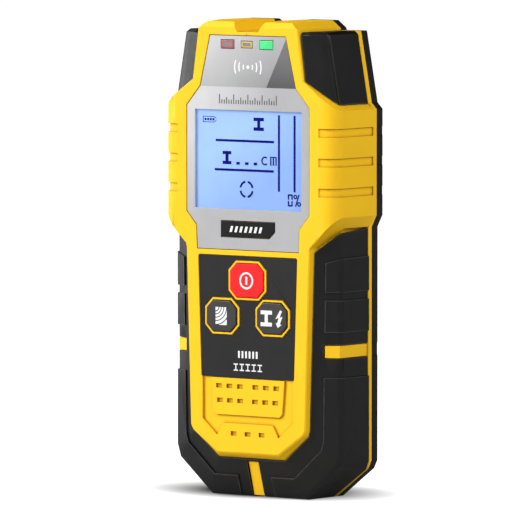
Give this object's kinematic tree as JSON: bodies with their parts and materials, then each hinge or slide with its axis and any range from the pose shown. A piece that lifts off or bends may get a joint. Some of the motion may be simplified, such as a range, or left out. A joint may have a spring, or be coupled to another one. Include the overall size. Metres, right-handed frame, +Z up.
{
  "type": "stud finder",
  "caption": "Hand-held wall scanner with a yellow two-part shell, rubber grips, display window, push buttons and a hinged battery door.",
  "frame": {"origin": "middle of the flat bottom that the scanner stands on", "axes": "+Z up the length of the body, +X to the scanner's right as seen from behind its display, -Y out of the display face, +Y out of the back that slides on the wall"},
  "size_m": [0.0892, 0.0358, 0.197],
  "materials": {
    "yellow_shell": "fine-textured ABS",
    "black_shell": "fine-textured ABS",
    "rubber_grip": "matt moulded rubber",
    "window_grey": "printed grey lens, glossy",
    "badge_black": "plain black, glossy",
    "lcd_blue": "blue lit display",
    "backlight": "white diffuser",
    "panel_grey": "printed overlay",
    "button_red": "red silicone",
    "button_dark": "dark silicone",
    "lens_red": "tinted lens",
    "lens_amber": "tinted lens",
    "lens_green": "tinted lens, lit",
    "led": "LED body",
    "board_green": "solder-masked circuit board",
    "chip_black": "moulded component bodies",
    "copper": "enamelled copper wire coil",
    "steel": "plated steel",
    "battery_case": "plain sleeved steel can",
    "wire_red": "PVC insulation",
    "wire_black": "PVC insulation",
    "foam": "soft foam",
    "felt": "pressed felt"
  },
  "bodies": {
    "root": {"badge_plate": "badge_black", "battery_9v": "battery_case", "battery_bay": "black_shell", "battery_lead_black": "wire_black", "battery_lead_red": "wire_red", "battery_snap": "chip_black", "board_header": "chip_black", "board_screw_1": "steel", "board_screw_2": "steel", "board_screw_3": "steel", "board_screw_4": "steel", "buzzer": "chip_black", "case_screw_1": "steel", "case_screw_2": "steel", "case_screw_3": "steel", "case_screw_4": "steel", "case_screw_5": "steel", "case_screw_6": "steel", "detection_coil": "copper", "display_window": "window_grey", "front_shell": "yellow_shell", "glide_pad_1": "felt", "glide_pad_2": "felt", "glide_pad_3": "felt", "glide_pad_4": "felt", "hinge_pin": "steel", "indicator_led_amber": "led", "indicator_led_green": "led", "indicator_led_red": "led", "indicator_lens_amber": "lens_amber", "indicator_lens_green": "lens_green", "indicator_lens_red": "lens_red", "keypad_panel": "panel_grey", "lcd_backlight": "backlight", "lcd_glass": "lcd_blue", "lower_grip": "rubber_grip", "main_board": "board_green", "metal_switch": "chip_black", "microcontroller": "chip_black", "power_switch": "chip_black", "rear_shell": "black_shell", "sensor_board": "board_green", "sensor_screw_1": "steel", "sensor_screw_2": "steel", "stud_switch": "chip_black", "upper_grip_left": "rubber_grip", "upper_grip_right": "rubber_grip"},
    "power_button": {"power_button": "button_red"},
    "stud_button": {"stud_button": "button_dark"},
    "metal_button": {"metal_button": "button_dark"},
    "battery_door": {"battery_door": "black_shell", "door_foam": "foam"}
  },
  "joints": [
    {"name": "power_button_press", "type": "slide", "parent": "root", "child": "power_button", "axis": [0, 1, 0], "range_m": [0, 0.0008], "stiffness_N_per_m": 300},
    {"name": "stud_button_press", "type": "slide", "parent": "root", "child": "stud_button", "axis": [0, 1, 0], "range_m": [0, 0.0008], "stiffness_N_per_m": 300},
    {"name": "metal_button_press", "type": "slide", "parent": "root", "child": "metal_button", "axis": [0, 1, 0], "range_m": [0, 0.0008], "stiffness_N_per_m": 300},
    {"name": "battery_door_hinge", "type": "hinge", "parent": "root", "child": "battery_door", "pos_m": [0, 0.0153, 0.066], "axis": [1, 0, 0], "range_deg": [0, 90]}
  ]
}
